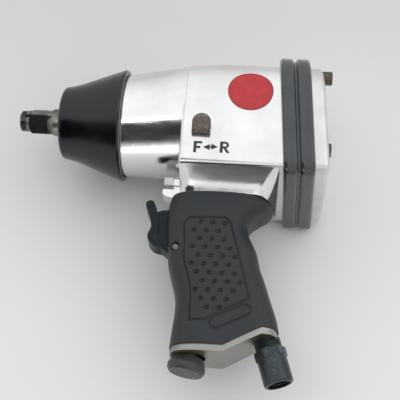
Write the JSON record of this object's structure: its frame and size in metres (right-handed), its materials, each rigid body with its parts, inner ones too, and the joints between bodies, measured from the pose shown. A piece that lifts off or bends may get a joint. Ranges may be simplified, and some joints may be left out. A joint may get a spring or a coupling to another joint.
{
  "type": "pneumatic impact wrench",
  "caption": "Pistol-grip air impact wrench with a square drive, finger trigger, reverse lever, air regulator and threaded air inlet.",
  "frame": {"origin": "centre of the square drive's tip face, on the spindle axis", "axes": "+X runs back along the spindle from the drive to the rear cover, +Y is the tool's top so the handle points to -Y, +Z is the tool's left side, up while it lies on its right side"},
  "size_m": [0.1941, 0.2045, 0.0846],
  "materials": {
    "polished_aluminium": "polished casting",
    "cast_aluminium": "machined casting",
    "boot_rubber": "glossy black",
    "grip_rubber": "matte moulded",
    "band_rubber": "semi-gloss moulded",
    "drive_steel": "hardened, worn dark finish",
    "hammer_steel": "ground steel",
    "bright_steel": "machined",
    "black_steel": "black phosphate",
    "bearing_steel": "polished",
    "lever_steel": "dark zinc, satin",
    "bronze": "sintered",
    "brass": "turned",
    "seal_rubber": "matte",
    "gasket_fibre": "fibre sheet",
    "label_red": "glossy sticker",
    "vane_resin": "laminated resin",
    "knob_plastic": "satin black",
    "screen_wire": "woven wire"
  },
  "bodies": {
    "housing": {"motor_housing": "polished_aluminium", "nose_boot": "boot_rubber", "grip_sleeve": "grip_rubber", "rear_protector": "band_rubber", "rear_cover": "cast_aluminium", "anvil_bushing": "bronze", "thrust_washer": "bright_steel", "front_end_plate": "bright_steel", "rear_end_plate": "bright_steel", "cylinder_liner": "bright_steel", "cylinder_dowel": "bright_steel", "front_bearing_outer": "bearing_steel", "front_bearing_balls": "bearing_steel", "rear_bearing_outer": "bearing_steel", "rear_bearing_balls": "bearing_steel", "rear_gasket": "gasket_fibre", "rear_cover_screws": "black_steel", "spring_washers": "black_steel", "side_label": "label_red", "grease_screw": "bright_steel", "grease_washer": "bright_steel", "reverse_bushing": "brass", "trigger_pin": "bright_steel", "throttle_bushing": "brass", "throttle_spring": "bright_steel", "air_inlet": "black_steel", "inlet_screen": "screen_wire", "regulator_bushing": "brass"},
    "anvil": {"anvil": "drive_steel", "friction_ring": "bright_steel", "drive_o_ring": "seal_rubber"},
    "rotor": {"hammer_cage": "hammer_steel", "hammer_pins": "bright_steel", "front_hammer_dog": "hammer_steel", "rear_hammer_dog": "hammer_steel", "rotor": "hammer_steel", "rotor_vanes": "vane_resin", "front_bearing_inner": "bearing_steel", "rear_bearing_inner": "bearing_steel"},
    "trigger": {"trigger": "black_steel"},
    "throttle": {"valve_stem": "brass"},
    "reverse": {"reverse_lever": "lever_steel", "reverse_valve": "brass"},
    "regulator": {"regulator_knob": "knob_plastic", "regulator_valve": "brass", "regulator_o_ring": "seal_rubber"}
  },
  "joints": [
    {"name": "rotor_spin", "type": "hinge", "parent": "housing", "child": "rotor", "pos_m": [0.14, 0, 0], "axis": [1, 0, 0], "continuous": true},
    {"name": "anvil_spin", "type": "hinge", "parent": "housing", "child": "anvil", "pos_m": [0.03, 0, 0], "axis": [1, 0, 0], "continuous": true},
    {"name": "trigger_squeeze", "type": "hinge", "parent": "housing", "child": "trigger", "pos_m": [0.1067, -0.0876, 0], "axis": [0, 0, -1], "range_deg": [0, 12], "stiffness_Nm_per_rad": 0.5, "springref_deg": -17.19},
    {"name": "valve_slide", "type": "slide", "parent": "housing", "child": "throttle", "axis": [1, 0, 0], "range_m": [0, 0.004], "deforming": ["throttle_spring"]},
    {"name": "reverse_swing", "type": "hinge", "parent": "housing", "child": "reverse", "pos_m": [0.1175, -0.0213, 0.038], "axis": [0, 0, -1], "range_deg": [0, 50]},
    {"name": "regulator_turn", "type": "hinge", "parent": "housing", "child": "regulator", "pos_m": [0.1176, -0.158, 0], "axis": [0.1564, 0.9877, 0], "range_deg": [0, 270]}
  ],
  "couplings": [
    {"joint": "anvil_spin", "follows": "rotor_spin", "ratio": 1},
    {"joint": "valve_slide", "follows": "trigger_squeeze", "m_per_rad": 0.019}
  ]
}
